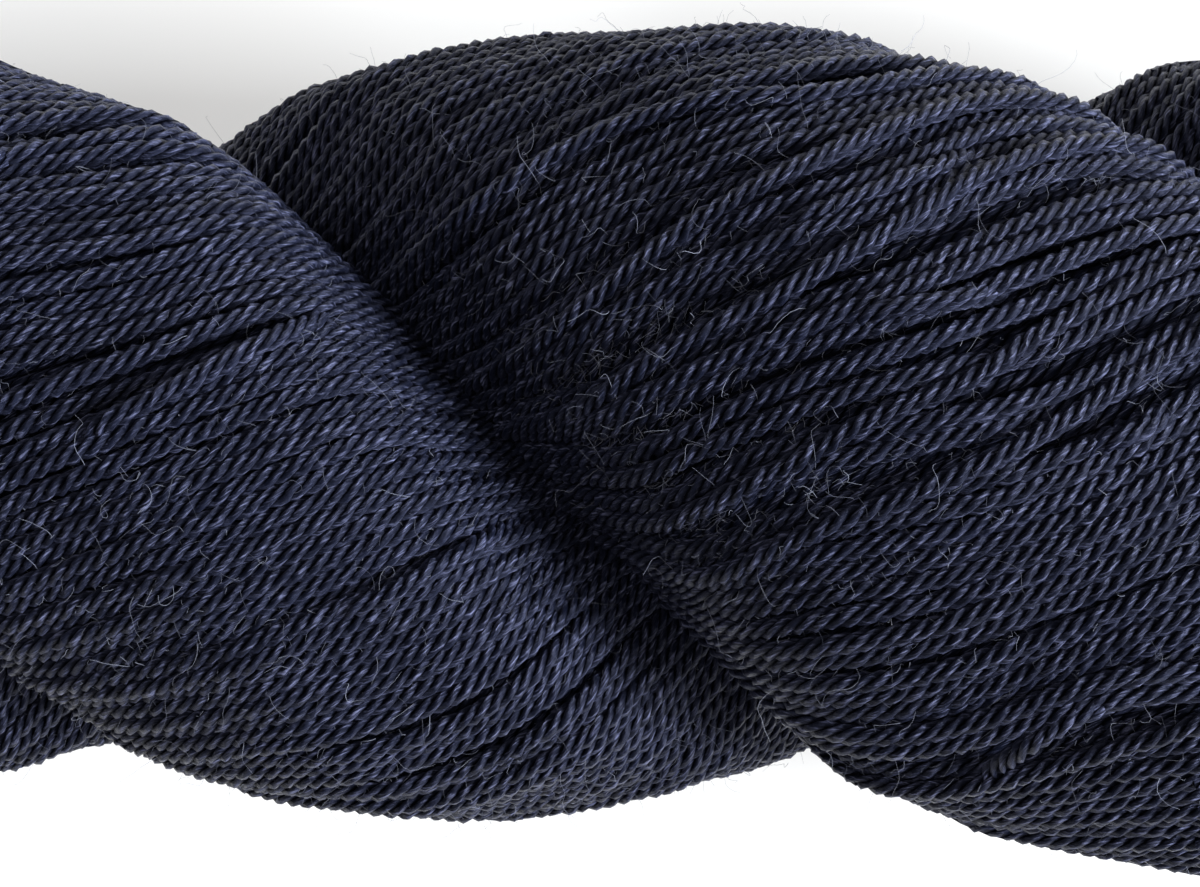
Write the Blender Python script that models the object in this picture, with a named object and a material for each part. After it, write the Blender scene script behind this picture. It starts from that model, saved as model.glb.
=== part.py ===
"""A hank of plied yarn, twisted on itself and folded, so that two thick bundles lie round each other.

The hank lies along X and rests on the plane z = 0. It is one wound loop, so it is one closed rope: bundle A
runs to the right, turns round in a fold, comes back as bundle B and turns round again. Every cross-section of
the rope has the same rounded shape, scaled by a girth. The two runs press into each other, and the crease
between them is where their surfaces cross.
"""

import math

import bmesh
import bpy
from mathutils import Matrix, Vector

MM = 0.001

# Cross-section of a bundle, about its own centre, in millimetres
CENTRE_OFFSET = 13.0  # from the hank's axis to the centre of a bundle
HALF_DEPTH = 20.5  # half size away from the hank's axis
HALF_WIDTH = 26.0  # half size along the hank's girth
ROUNDNESS = 1.8  # exponent of the section's superellipse: 2 is an ellipse, less is more pointed

# The hank as a whole, in millimetres
AXIS_HEIGHT = 30.8  # of the hank's axis above the surface: the lowest lobes are pressed flat
RUN_STEPS = 72  # cross-sections along one bundle
FOLD_STEPS = 10  # cross-sections round one folded end
EYE_HALF = 1.2  # half the narrow eye that the rope leaves where it folds back
EYE_REACH = 16.0  # how far before a fold the two bundles start to part

# Yarns leave the crease, cross the outside of their bundle and dive into the crease on its other side. They
# turn round the bundle's centre against the twist, fastest at its outermost point.
LAY_MEAN = 1.45  # turns of the yarns for each turn of the twist
LAY_SWING = 0.70  # by how much that is faster at the outermost point, and slower near the crease

# Bunches of yarn stand out as low ridges along the lay
LINES = 46  # lines of points along a bundle, two to a bunch
BUNCH_HEIGHT = 1.1  # of a ridge over its valleys, in millimetres
BUNCH_SWELL = 0.5  # slow rise and fall of the surface, in millimetres

# Along the hank: twist of the pair of bundles, and girth of each bundle as a share of the section above
STATIONS = (
    # x_mm, twist_deg, girth_a, girth_b
    (-114.0, -300.0, 0.87, 0.87),
    (-88.0, -243.0, 0.90, 0.98),
    (-66.0, -182.0, 0.94, 1.08),
    (-44.0, -117.0, 0.94, 0.96),
    (-22.0, -59.0, 0.98, 1.00),
    (0.0, 12.0, 1.02, 0.98),
    (22.0, 73.0, 1.14, 0.96),
    (44.0, 109.0, 1.12, 1.02),
    (66.0, 163.0, 1.10, 1.08),
    (88.0, 226.0, 1.00, 1.02),
    (114.0, 284.0, 0.87, 0.87),
)
X_MM, TWIST_DEG, GIRTH_A, GIRTH_B = range(4)
FOLD_X = STATIONS[-1][X_MM]  # centre of the fold at each end

YARN_COLOUR = (0.018, 0.020, 0.045, 1.0)
YARN_ROUGHNESS = 0.85


def station_slope(index, column):
    """Slope of a column at a station, level at both ends of the table."""
    if index in (0, len(STATIONS) - 1):
        return 0.0
    before, after = STATIONS[index - 1], STATIONS[index + 1]
    return (after[column] - before[column]) / (after[X_MM] - before[X_MM])


def along(x, column):
    """Value of a column of STATIONS at x, on a smooth curve through the stations."""
    index = 0
    while index < len(STATIONS) - 2 and x > STATIONS[index + 1][X_MM]:
        index += 1
    start, end = STATIONS[index], STATIONS[index + 1]
    length = end[X_MM] - start[X_MM]
    t = min(max((x - start[X_MM]) / length, 0.0), 1.0)
    return (
        start[column] * (1 + 2 * t) * (1 - t) ** 2
        + end[column] * t * t * (3 - 2 * t)
        + station_slope(index, column) * length * t * (1 - t) ** 2
        + station_slope(index + 1, column) * length * t * t * (t - 1)
    )


def section_angle(lay):
    """Angle round the bundle's centre for a lay angle, which grows evenly along a yarn."""
    stretch = math.sqrt((LAY_MEAN + LAY_SWING) / (LAY_MEAN - LAY_SWING))
    return 2 * math.atan2(stretch * math.sin(lay / 2), math.cos(lay / 2))


def section_radius(angle):
    """Distance from the bundle's centre to its surface in one direction."""
    depth_share = abs(math.cos(angle) / HALF_DEPTH) ** ROUNDNESS
    width_share = abs(math.sin(angle) / HALF_WIDTH) ** ROUNDNESS
    return (depth_share + width_share) ** (-1 / ROUNDNESS)


def across(angle):
    """Unit vector across the hank, turned by an angle from +Y towards +Z."""
    return Vector((0.0, math.cos(angle), math.sin(angle)))


def rope_sections():
    """One (origin, outward, sideways, girth, lay) for each cross-section of the closed rope.

    Going along the rope, the outward direction points from the hank's axis to the bundle, and the lay is how
    far the yarns have turned back round the bundle's centre.
    """
    lay_rate = math.sqrt(LAY_MEAN**2 - LAY_SWING**2)
    first_twist = math.radians(STATIONS[0][TWIST_DEG])
    run_twist = math.radians(STATIONS[-1][TWIST_DEG]) - first_twist
    bunch_angle = 4 * math.pi / LINES
    run_lay = lay_rate * run_twist
    whole_lay = round(2 * run_lay / bunch_angle) * bunch_angle
    fold_lay = whole_lay / 2 - run_lay

    sections = []
    for run, girth_column in ((0, GIRTH_A), (1, GIRTH_B)):
        side = 1 - 2 * run  # +1 going right as bundle A, -1 coming back as bundle B
        for step in range(RUN_STEPS):
            x = side * FOLD_X * (2 * step / RUN_STEPS - 1)
            twist = math.radians(along(x, TWIST_DEG))
            turned = twist - first_twist if side > 0 else first_twist + run_twist - twist
            lay = run * whole_lay / 2 + lay_rate * turned
            girth = along(x, girth_column)
            origin = Vector((x, 0.0, 0.0))
            sections.append((origin, side * across(twist), across(twist + math.pi / 2), girth, lay))
        fold_twist = math.radians(along(side * FOLD_X, TWIST_DEG))
        for step in range(FOLD_STEPS):
            turn = math.pi * step / FOLD_STEPS
            outward = side * across(fold_twist) * math.cos(turn) + Vector((side, 0, 0)) * math.sin(turn)
            lay = run * whole_lay / 2 + run_lay + fold_lay * step / FOLD_STEPS
            origin = Vector((side * FOLD_X, 0.0, 0.0))
            sections.append((origin, outward, across(fold_twist + math.pi / 2), STATIONS[0][GIRTH_A], lay))
    return sections, round(whole_lay / (2 * math.pi / LINES))


def inner_limit(x):
    """How near to the hank's axis, or how far past it, a bundle may reach: at the folds it stops short of it."""
    t = min(max((abs(x) - FOLD_X + EYE_REACH) / EYE_REACH, 0.0), 1.0)
    deepest = CENTRE_OFFSET - HALF_DEPTH
    return deepest + (EYE_HALF - deepest) * t


def bunch_relief(line, angle, share):
    """Height in millimetres of a line of points above the plain section, at a share of the rope's length."""
    bunch = line // 2
    ridge = BUNCH_HEIGHT if line % 2 == 0 else -BUNCH_HEIGHT
    uneven = 0.75 + 0.45 * math.sin(2.4 * bunch * bunch + 6 * math.pi * share)
    swell = math.sin(1.7 * bunch + 10 * math.pi * share) + math.sin(2.9 * bunch - 16 * math.pi * share)
    fade = min(1.0, 12 * share, 12 * (1 - share), max(0.0, 1.6 + 2 * math.cos(angle)))
    return fade * (ridge * uneven / 2 + BUNCH_SWELL * swell / 2)


def centre_over_origin(mesh):
    """Moves the mesh level, so that the middle of its box is over the origin."""
    for axis in (0, 1):
        places = [vert.co[axis] for vert in mesh.verts]
        middle = (min(places) + max(places)) / 2
        for vert in mesh.verts:
            vert.co[axis] -= middle


def rope_mesh():
    """The whole rope as one closed tube, its lines of points along the lay of the yarns."""
    sections, line_shift = rope_sections()
    mesh = bmesh.new()
    rings = []
    for number, (origin, outward, sideways, girth, lay) in enumerate(sections):
        ring = []
        for line in range(LINES):
            angle = section_angle(2 * math.pi * line / LINES - lay)
            radius = section_radius(angle) * girth + bunch_relief(line, angle, number / len(sections))
            from_axis = max(CENTRE_OFFSET * girth + radius * math.cos(angle), inner_limit(origin.x))
            point = origin + from_axis * outward + radius * math.sin(angle) * sideways
            point.z = max(point.z + AXIS_HEIGHT, 0.0)
            ring.append(mesh.verts.new(point * MM))
        rings.append(ring)
    for number, ring in enumerate(rings):
        last = number == len(rings) - 1
        following = rings[0] if last else rings[number + 1]
        shift = -line_shift if last else 0
        for line in range(LINES):
            after = (line + 1) % LINES
            corners = (
                ring[line],
                ring[after],
                following[(after + shift) % LINES],
                following[(line + shift) % LINES],
            )
            mesh.faces.new(corners)
    centre_over_origin(mesh)
    bmesh.ops.triangulate(mesh, faces=mesh.faces[:])
    bmesh.ops.recalc_face_normals(mesh, faces=mesh.faces[:])
    return mesh


def yarn_material():
    material = bpy.data.materials.new("navy yarn")
    material.use_nodes = True
    shader = material.node_tree.nodes["Principled BSDF"]
    shader.inputs["Base Color"].default_value = YARN_COLOUR
    shader.inputs["Roughness"].default_value = YARN_ROUGHNESS
    shader.inputs["Metallic"].default_value = 0.0
    return material


def make_object(name, mesh):
    data = bpy.data.meshes.new(name)
    mesh.to_mesh(data)
    mesh.free()
    made = bpy.data.objects.new(name, data)
    bpy.context.scene.collection.objects.link(made)
    return made


def make_heart():
    """A small block deep inside the hank, which the union of the rope with itself needs as its other body."""
    mesh = bmesh.new()
    bmesh.ops.create_cube(mesh, size=4 * MM, matrix=Matrix.Translation((0.0, 0.0, AXIS_HEIGHT * MM)))
    heart = make_object("heart", mesh)
    heart.hide_render = True
    heart.display_type = "WIRE"
    return heart


def make_skein():
    skein = make_object("skein", rope_mesh())
    skein.data.materials.append(yarn_material())
    joined = skein.modifiers.new("bundles pressed together", "BOOLEAN")
    joined.operation = "UNION"
    joined.solver = "EXACT"
    joined.use_self = True
    joined.object = make_heart()
    skein.data.shade_smooth()
    return skein


for old in list(bpy.data.objects):
    bpy.data.objects.remove(old, do_unlink=True)

make_skein()
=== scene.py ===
# %% [markdown]
# # A twisted hank of navy plied yarn
#
# A hank is one long yarn wound round and round into a big loop. The loop is twisted like a rope and then
# folded in two, so that it twists back on itself and holds its shape: two thick bundles lie round each
# other. The solid of that rope comes from the CAD model. This lesson lays the single yarns on it, one by one.

import math

import bpy
import numpy as np
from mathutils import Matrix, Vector
from mathutils.bvhtree import BVHTree


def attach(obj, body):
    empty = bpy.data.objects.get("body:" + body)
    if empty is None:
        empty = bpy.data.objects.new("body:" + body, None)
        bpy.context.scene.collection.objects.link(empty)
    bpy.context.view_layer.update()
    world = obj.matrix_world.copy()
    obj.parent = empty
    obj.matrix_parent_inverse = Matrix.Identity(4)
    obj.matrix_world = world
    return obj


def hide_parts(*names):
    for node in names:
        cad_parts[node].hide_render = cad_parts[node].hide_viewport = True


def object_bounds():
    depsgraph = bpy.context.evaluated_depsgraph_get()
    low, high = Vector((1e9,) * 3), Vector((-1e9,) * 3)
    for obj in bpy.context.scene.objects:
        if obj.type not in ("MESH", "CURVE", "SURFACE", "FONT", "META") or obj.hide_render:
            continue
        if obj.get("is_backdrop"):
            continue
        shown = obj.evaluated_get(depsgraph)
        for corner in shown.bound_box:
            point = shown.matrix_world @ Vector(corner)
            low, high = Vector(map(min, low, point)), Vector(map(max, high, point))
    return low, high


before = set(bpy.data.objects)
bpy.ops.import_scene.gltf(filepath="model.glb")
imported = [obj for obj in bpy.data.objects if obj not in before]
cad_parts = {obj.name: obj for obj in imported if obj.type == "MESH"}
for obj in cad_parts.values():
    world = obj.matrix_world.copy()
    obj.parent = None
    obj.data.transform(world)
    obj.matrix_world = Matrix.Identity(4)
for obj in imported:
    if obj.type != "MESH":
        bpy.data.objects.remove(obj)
cad_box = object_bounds()
print("solid from", [round(v, 4) for v in cad_box[0]], "to", [round(v, 4) for v in cad_box[1]])

# %% [markdown]
# ## The form of the rope
#
# The rope could be traced from the solid's triangles, but a yarn has to know where it is on its bundle: how
# far along, and how far round. So the same few sizes that shape the solid are written here again, as a table
# of stations along the hank, and a smooth curve is drawn through them.

# %% Sizes of the hank, in millimetres and degrees
MM = 0.001
CENTRE_OFFSET = 13.0  # from the hank's axis to the centre of a bundle
HALF_DEPTH = 20.5  # half a bundle's size away from the axis
HALF_WIDTH = 26.0  # half its size along the girth
ROUNDNESS = 1.8  # exponent of the section's superellipse
AXIS_HEIGHT = 30.8  # of the hank's axis above the floor
EYE_HALF = 1.2  # half the narrow eye that the rope leaves where it folds back
EYE_REACH = 16.0  # how far before a fold the two bundles start to part

STATIONS = np.array(
    # x_mm, twist_deg, girth_a, girth_b
    (
        (-114.0, -300.0, 0.87, 0.87),
        (-88.0, -243.0, 0.90, 0.98),
        (-66.0, -182.0, 0.94, 1.08),
        (-44.0, -117.0, 0.94, 0.96),
        (-22.0, -59.0, 0.98, 1.00),
        (0.0, 12.0, 1.02, 0.98),
        (22.0, 73.0, 1.14, 0.96),
        (44.0, 109.0, 1.12, 1.02),
        (66.0, 163.0, 1.10, 1.08),
        (88.0, 226.0, 1.00, 1.02),
        (114.0, 284.0, 0.87, 0.87),
    )
)
X_MM, TWIST_DEG, GIRTH_A, GIRTH_B = range(4)
FOLD_X = STATIONS[-1, X_MM]  # centre of the fold at each end


def along(x, column):
    """Values of a column of STATIONS at many x, on a smooth curve that is level at both ends."""
    places, values = STATIONS[:, X_MM], STATIONS[:, column]
    slopes = np.zeros(len(places))
    slopes[1:-1] = (values[2:] - values[:-2]) / (places[2:] - places[:-2])
    index = np.clip(np.searchsorted(places, x) - 1, 0, len(places) - 2)
    length = places[index + 1] - places[index]
    t = np.clip((x - places[index]) / length, 0, 1)
    return (
        values[index] * (1 + 2 * t) * (1 - t) ** 2
        + values[index + 1] * t * t * (3 - 2 * t)
        + slopes[index] * length * t * (1 - t) ** 2
        + slopes[index + 1] * length * t * t * (t - 1)
    )


print("twist from end to end:", STATIONS[-1, TWIST_DEG] - STATIONS[0, TWIST_DEG], "degrees")

# %% [markdown]
# ## The rope as one closed loop
#
# Both bundles are the same rope: it runs to the right as bundle A, turns round in a fold, comes back as
# bundle B and turns round again. Cutting it into cross-sections a millimetre apart gives each section a
# place, a direction outwards from the hank's axis and a direction sideways. A few sections more are added
# before the start and after the end, so that a yarn can run on over the place where the loop closes.

# %% Cross-sections along the closed rope
STEP = 1.0  # from one cross-section to the next
RUN = 2 * FOLD_X
FOLD_RADIUS = 24.0  # of a typical yarn's path round a fold
FOLD_PATH = math.pi * FOLD_RADIUS
ROPE_LENGTH = 2 * (RUN + FOLD_PATH)
OVERLAP = 150.0  # how far the list of sections runs on past the closing place


def across(angle):
    """Unit vectors across the hank, turned from +Y towards +Z."""
    return np.stack([np.zeros_like(angle), np.cos(angle), np.sin(angle)], axis=-1)


def rope_sections(distance):
    """Origin, outward and sideways directions, girth and twist so far, at distances along the rope."""
    laps, place = np.divmod(distance, ROPE_LENGTH)
    half = ROPE_LENGTH / 2
    back = place >= half
    place = np.where(back, place - half, place)
    side = np.where(back, -1.0, 1.0)
    x = side * (np.minimum(place, RUN) - FOLD_X)
    turn = np.clip(place - RUN, 0, None) / FOLD_PATH * math.pi
    twist = np.radians(along(x, TWIST_DEG))
    first, last = np.radians(STATIONS[0, TWIST_DEG]), np.radians(STATIONS[-1, TWIST_DEG])
    turned = np.where(back, 2 * last - first - twist, twist - first)
    turned = turned + laps * 2 * (last - first)
    along_x = np.stack([side, np.zeros_like(side), np.zeros_like(side)], axis=-1)
    outward = side[:, None] * across(twist) * np.cos(turn)[:, None] + along_x * np.sin(turn)[:, None]
    girth = np.where(back, along(x, GIRTH_B), along(x, GIRTH_A))
    origin = np.stack([x, np.zeros_like(x), np.full_like(x, AXIS_HEIGHT)], axis=-1)
    return origin, outward, across(twist + math.pi / 2), girth, turned


distances = np.arange(-OVERLAP, ROPE_LENGTH + OVERLAP, STEP)
origin, outward, sideways, girth, turned = rope_sections(distances)
print(len(distances), "sections, rope", round(ROPE_LENGTH), "mm long")

# %% [markdown]
# ## Round a cross-section
#
# A yarn's place on a section is told by an arc length from the outermost point of the bundle, because yarns
# have a thickness and lie side by side. A table of arc length against angle turns one into the other.

# %% Arc length round the section of a bundle
fine_angle = np.linspace(0, math.pi, 721)


def section_radius(angle):
    """From the bundle's centre to its surface, in one direction, at a girth of one."""
    depth_share = np.abs(np.cos(angle) / HALF_DEPTH) ** ROUNDNESS
    width_share = np.abs(np.sin(angle) / HALF_WIDTH) ** ROUNDNESS
    return (depth_share + width_share) ** (-1 / ROUNDNESS)


fine_radius = section_radius(fine_angle)
outward_steps = np.diff(fine_radius * np.cos(fine_angle))
sideways_steps = np.diff(fine_radius * np.sin(fine_angle))
fine_arc = np.concatenate([[0], np.cumsum(np.hypot(outward_steps, sideways_steps))])


def angle_at(arc):
    """Angle round the bundle's centre at a signed arc length, at a girth of one."""
    return np.sign(arc) * np.interp(np.abs(arc), fine_arc, fine_angle)


print("half way round a section is", round(fine_arc[-1], 1), "mm")

# %% [markdown]
# ## Where the yarns run
#
# The loop was twisted one way before it was folded, and it twisted back the other way after. So the yarns
# turn against the bundles: they leave the crease on one side, cross the outside of the bundle nearly in line
# with the hank, and dive into the crease on the other side. Each such crossing is called a pass here.
#
# One yarn beside the other in arc length would be enough on a round rope. Here the yarns turn more slowly
# near the crease, where the bundles press on each other, so some of them sink under their neighbours there.
# A number from the golden ratio says which ones, because it spreads the sunk ones evenly.

# %% Sizes of the yarn and its lay
YARN_RADIUS = 0.75
PLIES = 4
LAY_LENGTH = 5.2  # for one full turn of the plies
SPACING = 1.80  # from one yarn to the next along the section, with the little air between them
TOP_SLOPE = 0.38  # of the yarns to the hank's axis, where they cross the outside of a bundle
SINK_DEPTH = 1.25  # of a yarn under its neighbours
SINK_EASE = 0.22  # how gently it sinks, as a share of all yarns
REACH = 46  # passes worked out on each side of the outermost point
GOLDEN = (math.sqrt(5) - 1) / 2
LAY_MEAN = 1.45  # turns of the yarns for each turn of the twist
LAY_SWING = 0.70  # by how much that is faster at the outermost point, and slower near the crease
LEAST_SHARE = 0.12  # of the yarns that stay on the surface, however crowded it is
SHARE_GAIN = 1.08  # a few more stay than there is room for, because wool gives way
LOOK_AHEAD = 0.45  # part of a spacing past the last yarn, where the share for the next one is read
STILL = 1e-4  # a twist slower than this, in radians a millimetre, is none: the rope is in a fold

# Where a yarn crosses the outermost line of its bundle it climbs at TOP_SLOPE to the hank's axis. The bundle
# itself turns there, so the yarns pass that line faster where the hank is twisted more.
twist_rate = np.gradient(turned, STEP)
climb = (HALF_DEPTH + CENTRE_OFFSET) * girth * twist_rate + TOP_SLOPE
met = np.where(twist_rate > STILL, climb, 0.0) / SPACING
passed = np.concatenate([[0], np.cumsum((met[1:] + met[:-1]) / 2 * STEP)])
passed = passed - np.interp(0.0, distances, passed)
round_loop = np.interp(ROPE_LENGTH, distances, passed)
PASSES = int(round(round_loop))
passed = passed * PASSES / round_loop  # passes met so far at each section
print(PASSES, "passes round the loop")


def surface_share(angle):
    """Share of the yarns that stay on the surface at an angle round the bundle."""
    lay = LAY_MEAN + LAY_SWING * np.cos(angle)
    share = lay * section_radius(angle) / ((LAY_MEAN + LAY_SWING) * HALF_DEPTH)
    return np.clip(share * SHARE_GAIN, LEAST_SHARE, 1.0)


def smooth(t):
    """From 0 to 1 without a corner, and level outside that range."""
    t = np.clip(t, 0, 1)
    return t * t * (3 - 2 * t)


# %% Spread the passes over each section
centre_pass = np.round(passed).astype(int)
offsets = np.arange(-REACH, REACH + 1)
arc = np.zeros((len(distances), len(offsets)))
weight = np.ones_like(arc)
arc[:, REACH] = (centre_pass - passed) * SPACING
for side in (1, -1):
    for count in range(1, REACH + 1):
        column = REACH + side * count
        before = column - side
        pass_number = (centre_pass + side * count) % PASSES
        rank = (pass_number * GOLDEN) % 1.0
        ahead = np.abs(arc[:, before]) + SPACING * LOOK_AHEAD
        share = surface_share(angle_at(ahead / girth))
        weight[:, column] = smooth((share - rank) / SINK_EASE + 1.0)
        step = SPACING * (weight[:, before] + weight[:, column]) / 2
        arc[:, column] = arc[:, before] + side * step
print("arc reached:", round(float(arc.max()), 1), "mm")

# %% [markdown]
# ## Unevenness
#
# A wound hank is never even: yarns gather in bunches with dark gaps between, wander a little and lie at
# different depths. A smooth random surface over (pass, place along the rope) moves each of them.

# %% Smooth random values
def wander(pass_number, distance, seed, pass_period, length_period):
    """Smooth random values between -1 and 1, without a jump where the loop closes."""
    rows = max(2, int(round(PASSES / pass_period)))
    columns = max(2, int(round(ROPE_LENGTH / length_period)))
    table = np.random.default_rng(seed).uniform(-1, 1, (rows, columns))
    u = (pass_number / PASSES * rows) % rows
    v = (distance / ROPE_LENGTH * columns) % columns
    u0, v0 = np.floor(u).astype(int) % rows, np.floor(v).astype(int) % columns
    fu, fv = smooth(u % 1.0), smooth(v % 1.0)
    u1, v1 = (u0 + 1) % rows, (v0 + 1) % columns
    low = table[u0, v0] * (1 - fu) + table[u1, v0] * fu
    high = table[u0, v1] * (1 - fu) + table[u1, v1] * fu
    return low * (1 - fv) + high * fv


sample = wander(np.arange(PASSES, dtype=float), np.zeros(PASSES), 1, 6, 40)
print("a sample runs from", round(float(sample.min()), 2), "to", round(float(sample.max()), 2))

# %% Points on the rope
HIDE_ANGLE = math.radians(136)  # past this a yarn is inside the other bundle


def steepness(share, half_size):
    """One part of the section's outward direction: share is the cosine or sine of the angle."""
    return np.sign(share) * np.abs(share / half_size) ** (ROUNDNESS - 1) / half_size


def rope_points(i, arc_mm, depth):
    """Points, outward directions and angles at sections i, at arc lengths and depths under the surface."""
    angle = angle_at(arc_mm / girth[i])
    radius = section_radius(angle) * girth[i] - depth
    out = CENTRE_OFFSET * girth[i] + radius * np.cos(angle)
    near_fold = np.clip((np.abs(origin[i, 0]) - FOLD_X + EYE_REACH) / EYE_REACH, 0, 1)
    inmost = CENTRE_OFFSET - HALF_DEPTH
    out = np.maximum(out, inmost + (EYE_HALF - inmost) * near_fold + depth)
    aside = radius * np.sin(angle)
    point = origin[i] + out[:, None] * outward[i] + aside[:, None] * sideways[i]
    steep_out = steepness(np.cos(angle), HALF_DEPTH)
    steep_side = steepness(np.sin(angle), HALF_WIDTH)
    normal = steep_out[:, None] * outward[i] + steep_side[:, None] * sideways[i]
    normal /= np.linalg.norm(normal, axis=1, keepdims=True)
    point[:, 2] = np.maximum(point[:, 2], YARN_RADIUS)  # pressed flat where the hank rests
    return point, normal, angle


middle = np.array([int(OVERLAP / STEP + FOLD_X)])
top, _, _ = rope_points(middle, np.zeros(1), 0.0)
print("outermost point half way along bundle A:", top[0].round(1))

# %% [markdown]
# ## Yarns that make room for each other
#
# Two yarns can't be in one place. Where the wandering presses them together they slide apart or climb over
# each other, and where it parts them a dark gap opens. So every pass gets an arc length and a depth at each
# section, in one big table of passes against sections. Then a few rounds of pushing follow: overlapping
# neighbours move apart, every yarn pulls itself straight, and all are drawn gently back to their places.

# %% Table of the passes: a row for each pass, a column for each section
SPARE = 60  # rows before the first and after the last pass, so that those have neighbours too
rows = np.arange(-SPARE, PASSES + SPARE)
column = rows[:, None] - centre_pass[None, :] + REACH
held = (column >= 0) & (column < len(offsets))
column = np.clip(column, 0, len(offsets) - 1)
section = np.broadcast_to(np.arange(len(distances)), column.shape)
row_grid = np.broadcast_to(rows[:, None].astype(float), column.shape)
far = np.broadcast_to(distances[None, :], column.shape)
print("table of passes:", column.shape)

# %% Wander, and a few yarns that stray across the others
SIDEWAYS_WANDERS = (
    # strength in mm, seed, period in passes, period along the rope in mm
    (1.2, 11, 6.5, 60),
    (1.4, 12, 15, 90),
    (0.75, 13, 1, 30),
)
UPWARD_WANDERS = (
    (0.45, 14, 5.0, 34),
    (0.40, 15, 1, 26),
)
STRAY_SHARE = 0.05
STRAY_DRIFT = 6.0  # how far a stray yarn slides sideways over its pass
STRAY_WIDTH = 14.0  # arc length over which it does most of that
STRAY_RISE = 1.3  # it lies on top of the others
PROUD = 0.15  # how far all yarns stand out of the hank's surface


def wander_sum(wanders):
    """Several wanders of the whole table of passes, added up."""
    return sum(strength * wander(row_grid, far, *rest) for strength, *rest in wanders)


chance = np.random.default_rng(21)
stray = np.where(chance.uniform(size=PASSES) < STRAY_SHARE, chance.choice([-1.0, 1.0], PASSES), 0.0)
stray_here = stray[rows % PASSES][:, None]

home_arc = arc[section, column] + wander_sum(SIDEWAYS_WANDERS)
home_arc = home_arc + stray_here * STRAY_DRIFT / 2 * np.tanh(home_arc / STRAY_WIDTH)
home_depth = YARN_RADIUS - PROUD + SINK_DEPTH * (1 - weight[section, column])
home_depth = home_depth - wander_sum(UPWARD_WANDERS) - STRAY_RISE * np.abs(stray_here)
print(int(np.abs(stray).sum()), "yarns stray across the others")

# %% Bunches that lean out of line
LEANS = (
    # seen from above: x and y of its middle, and its reach, in mm; the slope that it adds
    (26.7, 19.6, 6.9, 0.40),
    (10.0, 4.7, 7.6, -0.42),
    (27.5, 3.5, 9.0, -0.42),
    (21.0, -8.0, 6.0, -0.20),
    (-1.6, 8.3, 3.6, -0.40),
    (23.8, -17.7, 4.0, -0.30),
    (34.7, -21.7, 3.6, 0.35),
    (-35.6, 14.1, 5.8, 0.45),
    (-13.2, -21.7, 4.3, 0.40),
    (3.5, -13.4, 4.0, -0.35),
    (-8.8, 6.9, 2.9, -0.40),
)
LEAN_SIDES = 1.5  # leans are whole on top and fade where the surface is steeper than about 48 degrees
flat_section = section[held]
place, normal, _ = rope_points(flat_section, home_arc[held], home_depth[held])
lift = np.zeros(len(place))
for lean_x, lean_y, reach, slope in LEANS:
    dx, dy = place[:, 0] - lean_x, place[:, 1] - lean_y
    lift += slope * dx * np.exp(-(dx**2 + dy**2) / (2 * reach**2))
facing_up = np.clip(normal[:, 2] * LEAN_SIDES, 0, 1)
home_arc[held] -= lift * facing_up  # on top of a bundle the arc grows towards -Y
print("bunches lean by up to", round(float(np.abs(lift * facing_up).max()), 1), "mm")

# %% Push the passes apart
CONTACT = 1.46  # centre to centre, two yarns pressed lightly together
SLANT = 0.90  # sections cut the yarns at a slant, which makes them look wider there
ROUNDS = 40
NEIGHBOURS = 5  # a yarn is pushed by so many on each side
PUSH = 0.28  # share of an overlap that one round takes away
ARC_PULL, DEPTH_PULL = 0.02, 0.04  # share of the way home, a round
STRAIGHTEN = 0.30  # share of a bend that one round takes out
HIGHEST, DEEPEST = YARN_RADIUS - 0.9, 4.0


def settle(arc_mm, depth):
    """Arc lengths and depths of all passes after the rounds of pushing."""
    arc_mm, depth = arc_mm.copy(), depth.copy()
    home_a, home_d = arc_mm.copy(), depth.copy()
    threes = held[:, :-2] & held[:, 1:-1] & held[:, 2:]
    for _ in range(ROUNDS):
        push_a, push_d = np.zeros_like(arc_mm), np.zeros_like(depth)
        for apart in range(1, NEIGHBOURS + 1):
            aside = (arc_mm[apart:] - arc_mm[:-apart]) * SLANT
            down = depth[apart:] - depth[:-apart]
            between = np.hypot(aside, down) + 1e-6
            both = held[apart:] & held[:-apart]
            move = PUSH * np.clip(CONTACT - between, 0, None) * both / between
            push_a[apart:] += move * aside
            push_a[:-apart] -= move * aside
            push_d[apart:] += move * down
            push_d[:-apart] -= move * down
        arc_mm += push_a + ARC_PULL * (home_a - arc_mm)
        depth += push_d + DEPTH_PULL * (home_d - depth)
        depth = np.clip(depth, HIGHEST, DEEPEST)
        for table in (arc_mm, depth):
            bend = table[:, :-2] - 2 * table[:, 1:-1] + table[:, 2:]
            table[:, 1:-1] += STRAIGHTEN * bend * threes
    return arc_mm, depth


settled_arc, settled_depth = settle(home_arc, home_depth)
print("pushed sideways by up to", round(float(np.abs((settled_arc - home_arc)[held]).max()), 1), "mm")

# %% Lines of the passes
BENEATH = 1.30  # from the outer yarns down to the layer beneath
BENEATH_SLIDE = 0.9  # how far those wander sideways
BENEATH_RISE = 0.30  # and how far up and down


def outer_part(i, arc_mm, depth):
    """Points and outward directions at sections i, without those inside the other bundle."""
    point, normal, angle = rope_points(i, arc_mm, depth)
    keep = np.abs(angle) < HIDE_ANGLE
    return point[keep], normal[keep]


def pass_line(number):
    """One pass, from crease to crease."""
    row = number + SPARE
    i = np.flatnonzero(held[row])
    return outer_part(i, settled_arc[row, i], settled_depth[row, i])


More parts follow.
